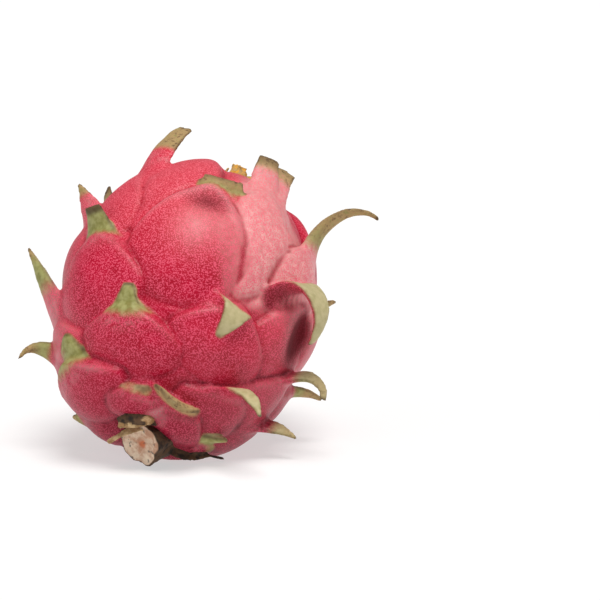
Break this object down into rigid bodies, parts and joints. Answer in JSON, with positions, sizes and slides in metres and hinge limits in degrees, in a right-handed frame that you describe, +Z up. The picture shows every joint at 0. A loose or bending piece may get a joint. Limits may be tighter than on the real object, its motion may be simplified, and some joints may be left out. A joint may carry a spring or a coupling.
{
  "type": "dragon fruit",
  "caption": "Whole ripe dragon fruit lying on its underside, its pink body wrapped in overlapping scales with free green tips, with a woody stem stub and a withered flower.",
  "frame": {"origin": "middle of the flat spot on the underside, at the level of the surface the fruit lies on", "axes": "+Z up, -Y towards the front, where the stem stub points; the crown leans up and back to +Y"},
  "size_m": [0.1307, 0.1259, 0.114],
  "materials": {
    "fruit": "waxy red-pink fruit skin, satin, with green and tan dry tips on the scales",
    "stem_stub": "dry brown bark, with a pale raw cut face",
    "flower_remnant": "withered, dry and papery, tan yellow"
  },
  "bodies": {
    "root": {"fruit": "fruit", "stem_stub": "stem_stub", "flower_remnant": "flower_remnant"}
  },
  "joints": []
}
